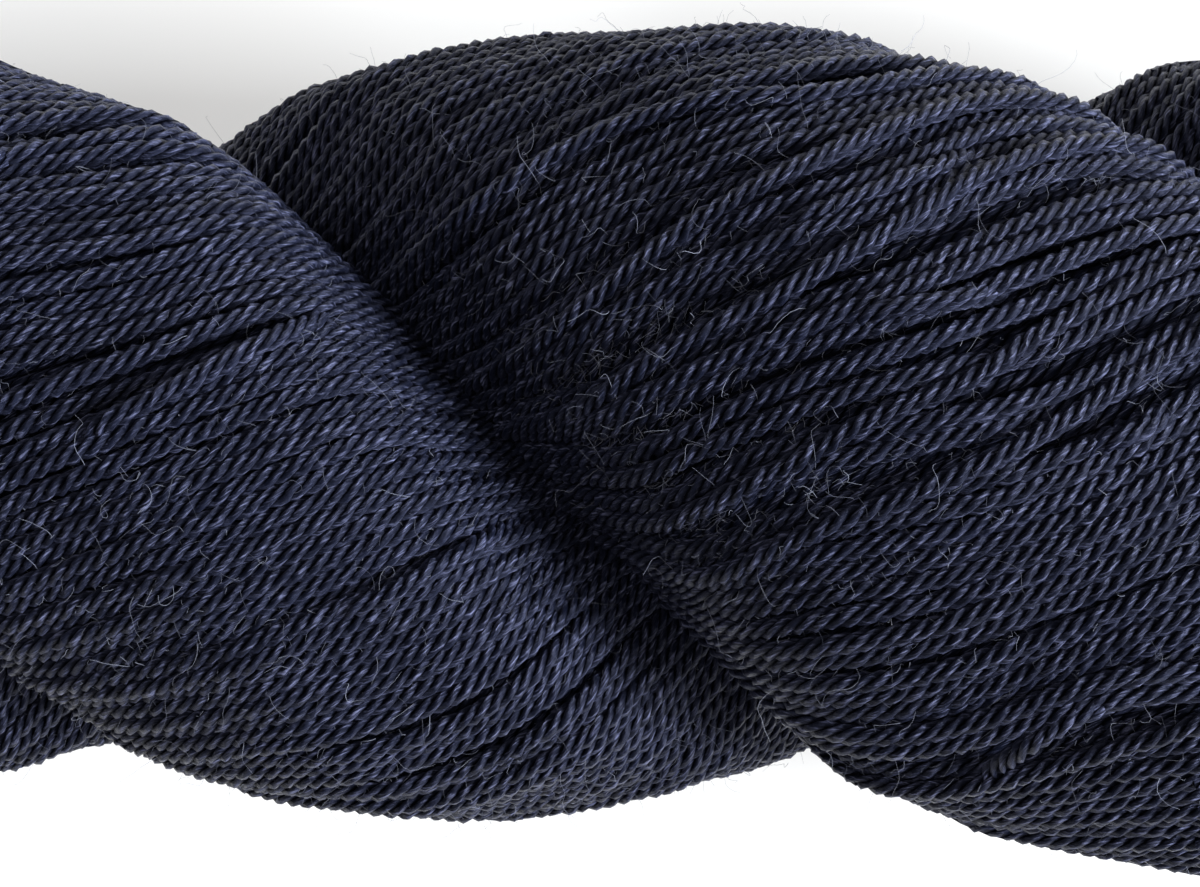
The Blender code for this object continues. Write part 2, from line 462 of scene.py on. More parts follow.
def line_beneath(number):
    """The same for a yarn of the layer beneath, half way between two passes that haven't wandered."""
    row = number + SPARE
    i = np.flatnonzero(held[row])
    same = np.full(len(i), float(number))
    slide = BENEATH_SLIDE * wander(same, distances[i], 16, 4, 40)
    depth = YARN_RADIUS + BENEATH - BENEATH_RISE * wander(same, distances[i], 17, 2, 30)
    return outer_part(i, arc[i, column[row, i]] + SPACING / 2 + slide, depth)


line, _ = pass_line(PASSES // 4)
print("a pass has", len(line), "points over", round(float(np.ptp(line[:, 0])), 1), "mm of the hank")

# %% [markdown]
# ## What the photograph's camera sees
#
# The camera looks straight down from 18 cm above the hank's axis. The yarns in its view are made finely, ply
# by ply. The rest of the hank gets simpler yarns, so that the whole stays light. Which points are in view is
# plain geometry: inside the frame, and facing the camera. The frame is taller than the hank is wide, so only
# its width counts.

# %% Camera
CAMERA_DISTANCE = 180.0  # above the hank's axis
CAMERA_PLACE = np.array((3.51, -0.54, AXIS_HEIGHT + CAMERA_DISTANCE))
CAMERA_ROLL = math.radians(0.974)
FOCAL = 62.1
SENSOR = 36.0
FRAME_MARGIN = 1.05  # the close-up is a little wider than the frame
PAST_EDGE = -0.12  # and it goes on a little past the outline: cosine of a surface to the line of sight


def add_object(name, data):
    """New object in the scene."""
    made = bpy.data.objects.new(name, data)
    bpy.context.scene.collection.objects.link(made)
    return made


camera = add_object("camera", bpy.data.cameras.new("camera"))
camera.data.lens = FOCAL
camera.data.sensor_width = SENSOR
camera.data.clip_start = 0.01
camera.location = Vector(CAMERA_PLACE) * MM
camera.rotation_euler = (0, 0, CAMERA_ROLL)
bpy.context.scene.camera = camera
print("camera at", [round(v, 4) for v in camera.location])


def in_close_up(point, normal):
    """Whether points lie in the camera's frame, or a little outside it, and face the camera."""
    away = point - CAMERA_PLACE
    half_frame = SENSOR / FOCAL / 2 * -away[:, 2]
    facing = -(away * normal).sum(axis=1) / np.linalg.norm(away, axis=1)
    return (np.abs(away[:, 0]) < half_frame * FRAME_MARGIN) & (facing > PAST_EDGE)


# %% [markdown]
# ## A tree that spins yarn along guide lines
#
# Each yarn has four plies wound round each other. A tube could carry them as a bump alone, but its outline
# would stay straight, and raking light would show no valleys. So a curve is swept with a section of four
# lobes, and tilting the curve evenly along its length winds the lobes into plies. Geometry Nodes does that
# for all guide lines at once: the lines come in as bare edges, and the tree turns them into curves, spaces
# their points evenly, tilts them and sweeps the section along them.

# %% Helpers that build a node tree
def fill_inputs(tree, node, inputs):
    """Gives each input of a node its value, or a link from a socket."""
    for key, value in inputs.items():
        if isinstance(value, bpy.types.NodeSocket):
            tree.links.new(value, node.inputs[key])
        else:
            node.inputs[key].default_value = value


def place_node(tree, kind, settings=None, inputs=None):
    """New node with its settings and its inputs."""
    made = tree.nodes.new(kind)
    for key, value in (settings or {}).items():
        setattr(made, key, value)
    fill_inputs(tree, made, inputs or {})
    return made


def calculate(tree, operation, first, second=0.0, third=0.0):
    """Output of a Math node."""
    made = place_node(tree, "ShaderNodeMath", {"operation": operation}, {0: first, 1: second, 2: third})
    return made.outputs[0]


def scaled(tree, vector, factor):
    """Output of a vector multiplied by a number."""
    made = place_node(tree, "ShaderNodeVectorMath", {"operation": "SCALE"}, {0: vector, "Scale": factor})
    return made.outputs[0]


def noise_at(tree, place, scale, detail, roughness=0.5):
    """Noise texture node at a place."""
    inputs = {"Vector": place, "Scale": scale, "Detail": detail, "Roughness": roughness}
    return place_node(tree, "ShaderNodeTexNoise", None, inputs)


def kept_value(tree, name, kind="FLOAT"):
    """Output that reads an attribute of the geometry."""
    made = place_node(tree, "GeometryNodeInputNamedAttribute", {"data_type": kind}, {"Name": name})
    return made.outputs[0]


def keep_value(tree, geometry, name, value, kind="FLOAT"):
    """The geometry, with a value kept on its points as an attribute."""
    inputs = {"Geometry": geometry, "Name": name, "Value": value}
    settings = {"data_type": kind, "domain": "POINT"}
    return place_node(tree, "GeometryNodeStoreNamedAttribute", settings, inputs).outputs[0]


def finish_tree(tree, geometry, wool):
    """Smooth, real geometry in its wool, as the tree's result."""
    soft = place_node(tree, "GeometryNodeSetShadeSmooth", None, {"Geometry": geometry})
    real = place_node(tree, "GeometryNodeRealizeInstances", None, {0: soft.outputs[0]})
    dressed = place_node(
        tree, "GeometryNodeSetMaterial", None, {"Geometry": real.outputs[0], "Material": wool}
    )
    result = tree.nodes.new("NodeGroupOutput")
    tree.links.new(dressed.outputs[0], result.inputs[0])


def new_tree(name, sizes):
    """Geometry node tree with named inputs: sizes gives (name, socket type, value) for each."""
    tree = bpy.data.node_groups.new(name, "GeometryNodeTree")
    tree.is_modifier = True
    tree.interface.new_socket("Geometry", in_out="INPUT", socket_type="NodeSocketGeometry")
    tree.interface.new_socket("Geometry", in_out="OUTPUT", socket_type="NodeSocketGeometry")
    for label, kind, value in sizes:
        socket = tree.interface.new_socket(label, in_out="INPUT", socket_type="NodeSocket" + kind)
        if value is not None:
            socket.default_value = value
    return tree


def grow(guides, tree, values, name):
    """Plain mesh object that the tree makes from the guides. The guides are removed."""
    modifier = guides.modifiers.new("grow", "NODES")
    modifier.node_group = tree
    for item in tree.interface.items_tree:
        if item.in_out == "INPUT" and item.name in values:
            modifier[item.identifier] = values[item.name]
    depsgraph = bpy.context.evaluated_depsgraph_get()
    mesh = bpy.data.meshes.new_from_object(guides.evaluated_get(depsgraph), depsgraph=depsgraph)
    old = guides.data
    bpy.data.objects.remove(guides)
    bpy.data.meshes.remove(old)
    mesh.name = name
    print(name, len(mesh.loops) - 2 * len(mesh.polygons), "triangles")
    return add_object(name, mesh)


# %% The tree that spins yarn
FINE_RING = 0.62  # from one ring of points of a fine yarn to the next
FINE_POINTS = 16  # in such a ring, four to a ply
LUMPS_PER_METRE = 1100.0  # of noise


def spin_tree():
    """Sweeps a section of lobes along each guide line, and winds the lobes into plies."""
    tree = new_tree(
        "spin yarn",
        (
            ("Yarn Radius", "Float", YARN_RADIUS * MM),
            ("Lay Length", "Float", LAY_LENGTH * MM),
            ("Plies", "Int", PLIES),
            ("Ply Depth", "Float", 0.50),  # of the valleys between plies, as a share of the radius
            ("Unevenness", "Float", 0.0),
            ("Ring Spacing", "Float", FINE_RING * MM),
            ("Ring Points", "Int", FINE_POINTS),
            ("Wool", "Material", None),
        ),
    )
    given = tree.nodes.new("NodeGroupInput").outputs

    # The guide lines become curves that are tilted evenly along their length
    curves = place_node(tree, "GeometryNodeMeshToCurve", None, {0: given["Geometry"]})
    even = place_node(
        tree,
        "GeometryNodeResampleCurve",
        {"mode": "LENGTH"},
        {"Curve": curves.outputs[0], "Length": given["Ring Spacing"]},
    )
    length = tree.nodes.new("GeometryNodeSplineParameter").outputs["Length"]
    back_turn = calculate(tree, "MULTIPLY", length, -math.tau)
    ply_turn = calculate(tree, "DIVIDE", back_turn, given["Lay Length"])
    tilt = calculate(tree, "ADD", ply_turn, kept_value(tree, "phase"))
    tilted = place_node(tree, "GeometryNodeSetCurveTilt", None, {"Curve": even.outputs[0], "Tilt": tilt})
    measured = keep_value(tree, tilted.outputs[0], "along", length)

    # The section is a circle of radius one, drawn in between the plies
    circle = place_node(
        tree,
        "GeometryNodeCurvePrimitiveCircle",
        {"mode": "RADIUS"},
        {"Resolution": given["Ring Points"], "Radius": 1.0},
    )
    position = tree.nodes.new("GeometryNodeInputPosition").outputs[0]
    marked = keep_value(tree, circle.outputs[0], "around", position, "FLOAT_VECTOR")
    parts = place_node(tree, "ShaderNodeSeparateXYZ", None, {0: position})
    angle = calculate(tree, "ARCTAN2", parts.outputs[1], parts.outputs[0])
    half_plies = calculate(tree, "DIVIDE", given["Plies"], 2.0)
    lobe = calculate(tree, "COSINE", calculate(tree, "MULTIPLY", angle, half_plies))
    lobe = calculate(tree, "ABSOLUTE", lobe)
    valley = calculate(tree, "MULTIPLY", calculate(tree, "SUBTRACT", 1.0, lobe), given["Ply Depth"])
    reach = calculate(tree, "MULTIPLY", calculate(tree, "SUBTRACT", 1.0, valley), given["Yarn Radius"])
    drawn_in = {"Geometry": marked, "Position": scaled(tree, position, reach)}
    section = place_node(tree, "GeometryNodeSetPosition", None, drawn_in)
    swept = place_node(
        tree,
        "GeometryNodeCurveToMesh",
        None,
        {"Curve": measured, "Profile Curve": section.outputs[0], "Fill Caps": True},
    )

    # Noise lets the finished yarn swell and shrink a little
    lumps = noise_at(tree, position, LUMPS_PER_METRE, 1.0).outputs[0]
    most = calculate(tree, "MULTIPLY", given["Unevenness"], 4.0)  # the noise strays by about a quarter
    swelling = calculate(tree, "MULTIPLY", calculate(tree, "SUBTRACT", lumps, 0.5), most)
    swell = scaled(tree, tree.nodes.new("GeometryNodeInputNormal").outputs[0], swelling)
    uneven = place_node(
        tree, "GeometryNodeSetPosition", None, {"Geometry": swept.outputs[0], "Offset": swell}
    )
    finish_tree(tree, uneven.outputs[0], given["Wool"])
    return tree


spin = spin_tree()
print("spin tree:", len(spin.nodes), "nodes")

# %% [markdown]
# ## Navy wool
#
# Each ply is a bundle of fine fibres that follow its turn. The tree leaves two attributes on every yarn:
# where a point is round its section, and how far along the yarn. Noise that is long in the second and short
# in the first gives fibres that run with the plies: most are dull, and a few are pale streaks, a painted
# highlight for fibres that catch the light. The crowns of the plies have a faint bluish gloss. The dye takes
# unevenly, so each yarn has a tone of its own, and the valleys between the plies get painted shade, a darker
# colour, and no gloss. Plain tubes carry their plies as a bump.

# %% Wool material
NAVY_DEEP = (0.0024, 0.0036, 0.0100, 1.0)
NAVY = (0.0060, 0.0085, 0.0230, 1.0)
# Painted highlight: the pale colour of fibre streaks that stand for glints of fibres catching the light
PAINTED_GLINT_NAVY = (0.260, 0.285, 0.500, 1.0)
GLOSS_TINT = (0.58, 0.63, 1.0, 1.0)
SHEEN_TINT = (0.42, 0.46, 0.85, 1.0)
FIBRE_STRAIGHTENING = 0.7  # fibres twist back in their ply, so that they run nearly in line with the yarn
FIBRES_PER_METRE = 130.0  # of noise along the yarn
# The first range gives dull fibres; the second paints highlights, pale streaks for glints of fibres
DULL_FIBRES = (0.38, 0.50)  # noise from here to there goes from the deepest dye to the yarn's own
PAINTED_GLINT_FIBRES = (0.53, 0.76)  # and from here to there to the palest
# Painted shade: the colour darkens down each ply's side, to the darkest in the valley between plies
VALLEY_SHADE_RANGE = (0.2, 1.0)  # height of a ply's side, from the darkest to its crown
DYE, DYE_BY_TONE, DYE_BY_PATCH = 0.5, 0.40, 1.1  # 0 is the deepest navy and 1 the plain one
TONE_SHIFT = 37.0  # how far the tone shifts the noise
FIBRE_RELIEF = 0.45  # height of the fibres, when that of the plies is one


def new_material(name):
    """New material, its node tree and its shader."""
    material = bpy.data.materials.new(name)
    material.use_nodes = True
    return material, material.node_tree, material.node_tree.nodes["Principled BSDF"]


def painted(tree, name, output):
    """Output that reads an attribute of the mesh in a material."""
    return place_node(tree, "ShaderNodeAttribute", {"attribute_name": name}).outputs[output]


def mix_colour(tree, factor, first, second, blend="MIX"):
    """Output of two colours mixed by a factor."""
    settings = {"data_type": "RGBA", "blend_type": blend}
    return place_node(tree, "ShaderNodeMix", settings, {0: factor, 6: first, 7: second}).outputs[2]


def spread(tree, value, limits, start=0.0):
    """Output that grows from start to one while a value goes from one limit to the other."""
    inputs = {"Value": value, "From Min": limits[0], "From Max": limits[1], "To Min": start}
    return place_node(tree, "ShaderNodeMapRange", None, inputs).outputs[0]


def wool_material(name, plain_tubes):
    """Wool for spun yarns, or for plain tubes, on which the plies are only a bump."""
    material, tree, shader = new_material(name)
    along_yarn = painted(tree, "along", "Fac")
    tone = painted(tree, "tone", "Fac")

    # Height of the plies round the yarn
    parts = place_node(tree, "ShaderNodeSeparateXYZ", None, {0: painted(tree, "around", "Vector")})
    angle = calculate(tree, "ARCTAN2", parts.outputs[1], parts.outputs[0])
    if plain_tubes:
        turn = calculate(tree, "MULTIPLY", along_yarn, math.tau / (LAY_LENGTH * MM))
        angle = calculate(tree, "ADD", angle, turn)
    lobe = calculate(tree, "COSINE", calculate(tree, "MULTIPLY", angle, PLIES / 2))
    lobe = calculate(tree, "ABSOLUTE", lobe)

    # Long noise along the fibres. The tone also shifts it, so that no two yarns are alike
    untwist = -FIBRE_STRAIGHTENING * math.tau / (LAY_LENGTH * MM)
    fibre_angle = calculate(tree, "ADD", angle, calculate(tree, "MULTIPLY", along_yarn, untwist))
    sine = calculate(tree, "SINE", fibre_angle)
    cosine = calculate(tree, "COSINE", fibre_angle)
    far_along = calculate(tree, "MULTIPLY", along_yarn, FIBRES_PER_METRE)
    shifted = calculate(tree, "ADD", far_along, calculate(tree, "MULTIPLY", tone, TONE_SHIFT))
    fibre_place = place_node(tree, "ShaderNodeCombineXYZ", None, {0: sine, 1: cosine, 2: shifted}).outputs[0]
    fibres = noise_at(tree, fibre_place, 5.0, 4.0, 0.7).outputs[0]
    patches = noise_at(tree, fibre_place, 0.7, 2.0).outputs[0]

    # Colour: the dye of the yarn, its dull fibres, pale fibre streaks that are painted highlights, and
    # painted shade in the valleys
    # The tone is each yarn's own dye at random, and for the layer beneath a darker tone that is painted shade
    dye_and_beneath_shade = calculate(tree, "MULTIPLY_ADD", tone, DYE_BY_TONE, DYE)
    patchy = calculate(tree, "SUBTRACT", patches, 0.5)
    base = mix_colour(tree, calculate(tree, "MULTIPLY_ADD", patchy, DYE_BY_PATCH, dye_and_beneath_shade), NAVY_DEEP, NAVY)
    dulled = mix_colour(tree, spread(tree, fibres, DULL_FIBRES, 0.1), NAVY_DEEP, base)
    # Painted highlight: pale fibre streaks where the noise is high
    with_painted_glints = mix_colour(tree, spread(tree, fibres, PAINTED_GLINT_FIBRES), dulled, PAINTED_GLINT_NAVY)
    # Painted shade: darker colour from each ply's crown down into its valleys; the same mask takes the gloss
    # away there
    ply_shade_and_gloss = spread(tree, lobe, VALLEY_SHADE_RANGE, 0.03)
    painted_valley_shade = place_node(tree, "ShaderNodeCombineColor", None, {0: ply_shade_and_gloss, 1: ply_shade_and_gloss, 2: ply_shade_and_gloss}).outputs[0]

    # Relief of the fibres, and of the plies on plain tubes
    height = calculate(tree, "MULTIPLY", fibres, FIBRE_RELIEF)
    if plain_tubes:
        height = calculate(tree, "ADD", height, calculate(tree, "POWER", lobe, 0.6))
    relief = (0.22 if plain_tubes else 0.6) * MM
    bump = place_node(tree, "ShaderNodeBump", None, {"Height": height, "Strength": 1.0, "Distance": relief})

    look = {
        "Base Color": mix_colour(tree, 1.0, with_painted_glints, painted_valley_shade, "MULTIPLY"),
        "Normal": bump.outputs[0],
        "Roughness": 0.50 if plain_tubes else 0.37,
        "Specular IOR Level": calculate(tree, "MULTIPLY", ply_shade_and_gloss, 0.22 if plain_tubes else 0.50),
        "Specular Tint": GLOSS_TINT,
        "Sheen Weight": 0.05,
        "Sheen Roughness": 0.35,
        "Sheen Tint": SHEEN_TINT,
    }
    fill_inputs(tree, shader, look)
    return material


close_wool = wool_material("navy_wool", False)
plain_wool = wool_material("navy_wool_plain", True)
print("materials:", close_wool.name, plain_wool.name)

# %% [markdown]
# ## Guide lines
#
# All passes are worked out once. Each is cut where it enters or leaves the close-up, and the stretches go to
# the fine or the plain yarns. Both keep a few points more than they need, so that the ends lie in each
# other. A guide is a line of points, with a tone for its dye and a phase that says how its plies start; the
# layer beneath gets a darker tone as painted shade.

# %% Cut the passes into fine and plain stretches
# Painted shade: the layer beneath gets a darker tone, for the shade that the outer yarns cast on it
BENEATH_SHADE_TONE = -0.3  # the layer beneath is a little darker


def stretches(mask, least=5, margin=2):
    """(start, end) of each run of true values, short gaps and short runs evened out first."""
    mask = mask.copy()
    for wanted in (False, True):
        edges = np.flatnonzero(np.diff(np.concatenate([[0], (mask == wanted).astype(np.int8), [0]])))
        for start, end in zip(edges[::2], edges[1::2]):
            if end - start < least and start > 0 and end < len(mask):
                mask[start:end] = not wanted
    edges = np.flatnonzero(np.diff(np.concatenate([[0], mask.astype(np.int8), [0]])))
    return [
        (max(start - margin, 0), min(end + margin, len(mask)))
        for start, end in zip(edges[::2], edges[1::2])
        if end - start >= 2
    ]


def guide_length(points):
    """Length of a line of points, in millimetres."""
    return float(np.linalg.norm(np.diff(points, axis=0), axis=1).sum())


chance = np.random.default_rng(8)
tones = chance.uniform(-1, 1, PASSES)
phases = chance.uniform(0, math.tau, PASSES)
fine_guides, plain_guides, under_guides = [], [], []
for number in range(PASSES):
    point, normal = pass_line(number)
    if len(point) < 4:  # too short to be seen
        continue
    seen = in_close_up(point, normal)
    for start, end in stretches(seen):
        fine_guides.append((point[start:end], tones[number], phases[number]))
    for start, end in stretches(~seen):
        plain_guides.append((point[start:end], tones[number], phases[number]))
    point, normal = line_beneath(number)
    for start, end in stretches(in_close_up(point, normal)):
        under_guides.append((point[start:end], BENEATH_SHADE_TONE, phases[number]))
for label, guides in (("fine", fine_guides), ("plain", plain_guides), ("beneath", under_guides)):
    print(label, len(guides), "lines,", round(sum(guide_length(g[0]) for g in guides) / 1000, 2), "m")

# %% [markdown]
# ## Loose yarns
#
# Here and there a yarn has come loose and lies across its neighbours. A rule can't say where, so each is
# given as a line seen from above. The solid tells how high the hank is under it.

# %% Loose yarns that lie across the others
LOOSE_YARNS = (
    # (x, y) in mm where each comes up, runs over its neighbours, and sinks in again
    ((-34.9, -1.1), (-31.3, 0.5), (-27.8, 2.2), (-24.4, 4.2), (-21.0, 6.1), (-16.5, 8.6)),
    ((13.6, 14.1), (17.4, 15.4), (21.6, 17.2), (26.1, 19.1), (31.5, 21.4)),
    ((31.8, -26.3), (33.3, -23.4), (35.7, -20.8), (38.9, -18.7), (42.9, -17.7)),
    ((35.2, -1.1), (38.7, 0.3), (42.3, 1.7), (44.9, 3.2)),
    ((18.6, 7.6), (22.7, 9.0), (27.5, 9.8), (32.5, 10.5)),
    ((-18.1, -13.8), (-12.3, -12.2), (-7.3, -9.3), (-2.5, -6.5)),
)
LOOSE_TOP = 0.75  # height of a loose yarn's middle over the hank's surface
LOOSE_END = -1.6  # height of its ends, which are hidden between its neighbours
LOOSE_RAMP = 5.0  # length over which it comes up, and sinks in again
LOOSE_TONE = 1.0  # the palest dye
LOOSE_PHASE = 1.1  # from one loose yarn to the next, so that their plies differ
ABOVE_ALL = 200.0  # a height from which rays are sent down


def surface_height(x, y):
    """Height of the hank's solid at a place seen from above."""
    hit = solid_tree.ray_cast(Vector((x, y, ABOVE_ALL)) * MM, Vector((0, 0, -1)))[0]
    return hit.z / MM


def eased(values):
    """Running mean over five steps."""
    return np.convolve(np.pad(values, 2, "edge"), np.ones(5) / 5, "valid")


solid_mesh = bpy.data.objects["skein"].data
solid_tree = BVHTree.FromPolygons(
    [v.co for v in solid_mesh.vertices], [tuple(p.vertices) for p in solid_mesh.polygons]
)
for count, stations in enumerate(LOOSE_YARNS):
    stations = np.array(stations)
    run = np.concatenate([[0], np.cumsum(np.linalg.norm(np.diff(stations, axis=0), axis=1))])
    steps = np.linspace(0, run[-1], int(run[-1]) + 1)
    x, y = (eased(np.interp(steps, run, stations[:, side])) for side in (0, 1))
    height = eased(np.array([surface_height(*place) for place in zip(x, y)]))
    share = np.minimum(steps, run[-1] - steps) / LOOSE_RAMP
    height += LOOSE_END + (LOOSE_TOP - LOOSE_END) * smooth(share)
    fine_guides.append((np.stack([x, y, height], axis=1), LOOSE_TONE, count * LOOSE_PHASE))
print("loose yarns:", len(LOOSE_YARNS))

# %% Put guide lines in a mesh of edges
def guide_mesh(name, guides):
    """Object whose edges are the guide lines, with the tone and phase of each on its points."""
    points = np.concatenate([g[0] for g in guides]) * MM
    lengths = np.array([len(g[0]) for g in guides])
    starts = np.concatenate([[0], np.cumsum(lengths)[:-1]])
    first = np.setdiff1d(np.arange(len(points)), starts + lengths - 1)
    mesh = bpy.data.meshes.new(name)
    mesh.from_pydata(points.tolist(), np.stack([first, first + 1], axis=1).tolist(), [])
    for label, column in (("tone", 1), ("phase", 2)):
        values = np.repeat([g[column] for g in guides], lengths).astype(np.float32)
        mesh.attributes.new(label, "FLOAT", "POINT").data.foreach_set("value", values)
    return add_object(name, mesh)


MOST_TRIANGLES = 185000  # in one piece, before the caps of its tubes
pieces = []


def in_batches(guides, ring_spacing, ring_points):
    """The guides in batches, whose tubes come to about MOST_TRIANGLES each."""
    batches, batch, count = [], [], 0
    for guide in guides:
        cost = guide_length(guide[0]) * 2 * ring_points / ring_spacing
        if count + cost > MOST_TRIANGLES:
            batches.append(batch)
            batch, count = [], 0
        batch.append(guide)
        count += cost
    return batches + [batch]


def keep_piece(piece):
    """The piece rides on the hank's one body and stands for its solid, which is hidden."""
    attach(piece, "root")
    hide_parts("skein")
    pieces.append(piece)


# %% Spin the fine yarns
PRESSED_RADIUS = 0.83  # soft yarns that lie pressed together fill most of the gap between them
UNEVENNESS = 0.14
fine_values = {
    "Yarn Radius": PRESSED_RADIUS * MM,
    "Unevenness": UNEVENNESS * MM,
    "Wool": close_wool,
}
for count, batch in enumerate(in_batches(fine_guides, FINE_RING, FINE_POINTS), start=1):
    keep_piece(grow(guide_mesh("guides", batch), spin, fine_values, f"yarns_close_{count}"))

# %% Spin the plain yarns
PLAIN_RING = 2.0
PLAIN_POINTS = 6
UNTWISTED = 1000.0  # a lay so long that plain tubes aren't tilted
plain_values = {
    "Ring Spacing": PLAIN_RING * MM,
    "Ring Points": PLAIN_POINTS,
    "Ply Depth": 0.0,
    "Lay Length": UNTWISTED,
    "Wool": plain_wool,
}
for count, batch in enumerate(in_batches(plain_guides, PLAIN_RING, PLAIN_POINTS), start=1):
    keep_piece(grow(guide_mesh("guides", batch), spin, plain_values, f"yarns_round_{count}"))

# %% Spin the layer beneath
BENEATH_RING = 1.9
beneath_values = {**plain_values, "Ring Spacing": BENEATH_RING * MM}
keep_piece(grow(guide_mesh("guides", under_guides), spin, beneath_values, "yarns_beneath"))

# %% [markdown]
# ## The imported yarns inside
#
# Under its outer yarns the hank is full of others, which only show as dark ground in the gaps. One closed
# skin stands for them. It lies under the second layer of yarns in the close-up, and straight under the outer
# yarns everywhere else.

# %% Inner skin
CORE_DEPTH = 3.1  # in the close-up, below two layers of yarn
ROUND_CORE_DEPTH = 1.4  # elsewhere, below one
SKIN_STEP = 3  # sections from one ring of a skin to the next
SKIN_POINTS = 44  # in a ring
SHADOW_DARK = (0.0035, 0.0045, 0.0110, 1.0)
SHADOW_PALE = (0.0080, 0.0100, 0.0240, 1.0)
SHADOW_LUMPS = 500.0  # of noise in a metre
once_round = np.flatnonzero((distances >= 0) & (distances < ROPE_LENGTH - 1))[::SKIN_STEP]


def ring_faces(ring_count):
    """Faces between rings of points that close on themselves, the last ring joined to the first."""
    ring, point = np.meshgrid(np.arange(ring_count), np.arange(SKIN_POINTS), indexing="ij")
    here = ring * SKIN_POINTS
    ahead = (ring + 1) % ring_count * SKIN_POINTS
    beside = (point + 1) % SKIN_POINTS
    corners = (here + point, here + beside, ahead + beside, ahead + point)
    return np.stack(corners, axis=-1).reshape(-1, 4).tolist()


def skin_points(depth):
    """Rings of points at a depth under the surface, with their outward directions and angles."""
    rings = []
    for count in range(SKIN_POINTS):
        angle = math.tau * count / SKIN_POINTS
        signed = angle if angle <= math.pi else angle - math.tau
        arc_here = np.sign(signed) * np.interp(abs(signed), fine_angle, fine_arc) * girth[once_round]
        rings.append(rope_points(once_round, arc_here, depth))
    points, normals, angles = (np.stack([ring[n] for ring in rings], axis=1) for n in range(3))
    return points.reshape(-1, 3), normals.reshape(-1, 3), angles.reshape(-1)


def skin_mesh(name, points):
    """A closed skin over rings of points."""
    mesh = bpy.data.meshes.new(name)
    mesh.from_pydata((points * MM).tolist(), [], ring_faces(len(once_round)))
    mesh.shade_smooth()
    return mesh


def shadow_material():
    """Yarns so deep in the hank that they are only a dark, uneven ground."""
    material, tree, shader = new_material("navy_shadow")
    place = tree.nodes.new("ShaderNodeTexCoord").outputs["Object"]
    noise = noise_at(tree, place, SHADOW_LUMPS, 3.0).outputs[0]
    bump = place_node(tree, "ShaderNodeBump", None, {"Height": noise, "Distance": 0.4 * MM})
    look = {
        "Base Color": mix_colour(tree, noise, SHADOW_DARK, SHADOW_PALE),
        "Normal": bump.outputs[0],
        "Roughness": 0.9,
        "Specular IOR Level": 0.15,
    }
    fill_inputs(tree, shader, look)
    return material


def core_points():
    """Points of the inner skin, deep in the close-up and shallow elsewhere."""
    deep, facing, _ = skin_points(CORE_DEPTH)
    shallow, _, _ = skin_points(ROUND_CORE_DEPTH)
    return np.where(in_close_up(deep, facing)[:, None], deep, shallow)


core = add_object("inner_yarns", skin_mesh("inner_yarns", core_points()))
core.data.materials.append(shadow_material())
keep_piece(core)
print("inner skin:", 2 * len(core.data.polygons), "triangles")

# %% [markdown]
# ## Loose fibres
#
# Short wool fibres work out of the yarn and curl over it, pale against the dark dye. They are scattered with
# Geometry Nodes over a skin that lies just under the yarns' tops. Each one starts as a straight line, leans
# its own way, and is then bent by a noise that it reads with a place of its own, so that no two curl alike.

# %% The tree that raises fuzz
FAR_APART = 300.0  # each fibre reads the noise at a place of its own, up to this far off
SHORTEST = 0.35  # length of the shortest fibre, as a share of the longest
THINNING = 0.5  # share of its thickness that a fibre loses to its tip


def random_value(tree, kind, seed, low, high):
    """Output of a value drawn anew for each point, between two limits."""
    made = place_node(tree, "FunctionNodeRandomValue", {"data_type": kind}, {"Seed": seed})
    first = 0 if kind == "FLOAT_VECTOR" else 2
    made.inputs[first].default_value = low
    made.inputs[first + 1].default_value = high
    return made.outputs[first // 2]


def added(tree, first, second):
    """Output of the sum of two vectors."""
    made = place_node(tree, "ShaderNodeVectorMath", {"operation": "ADD"}, {0: first, 1: second})
    return made.outputs[0]


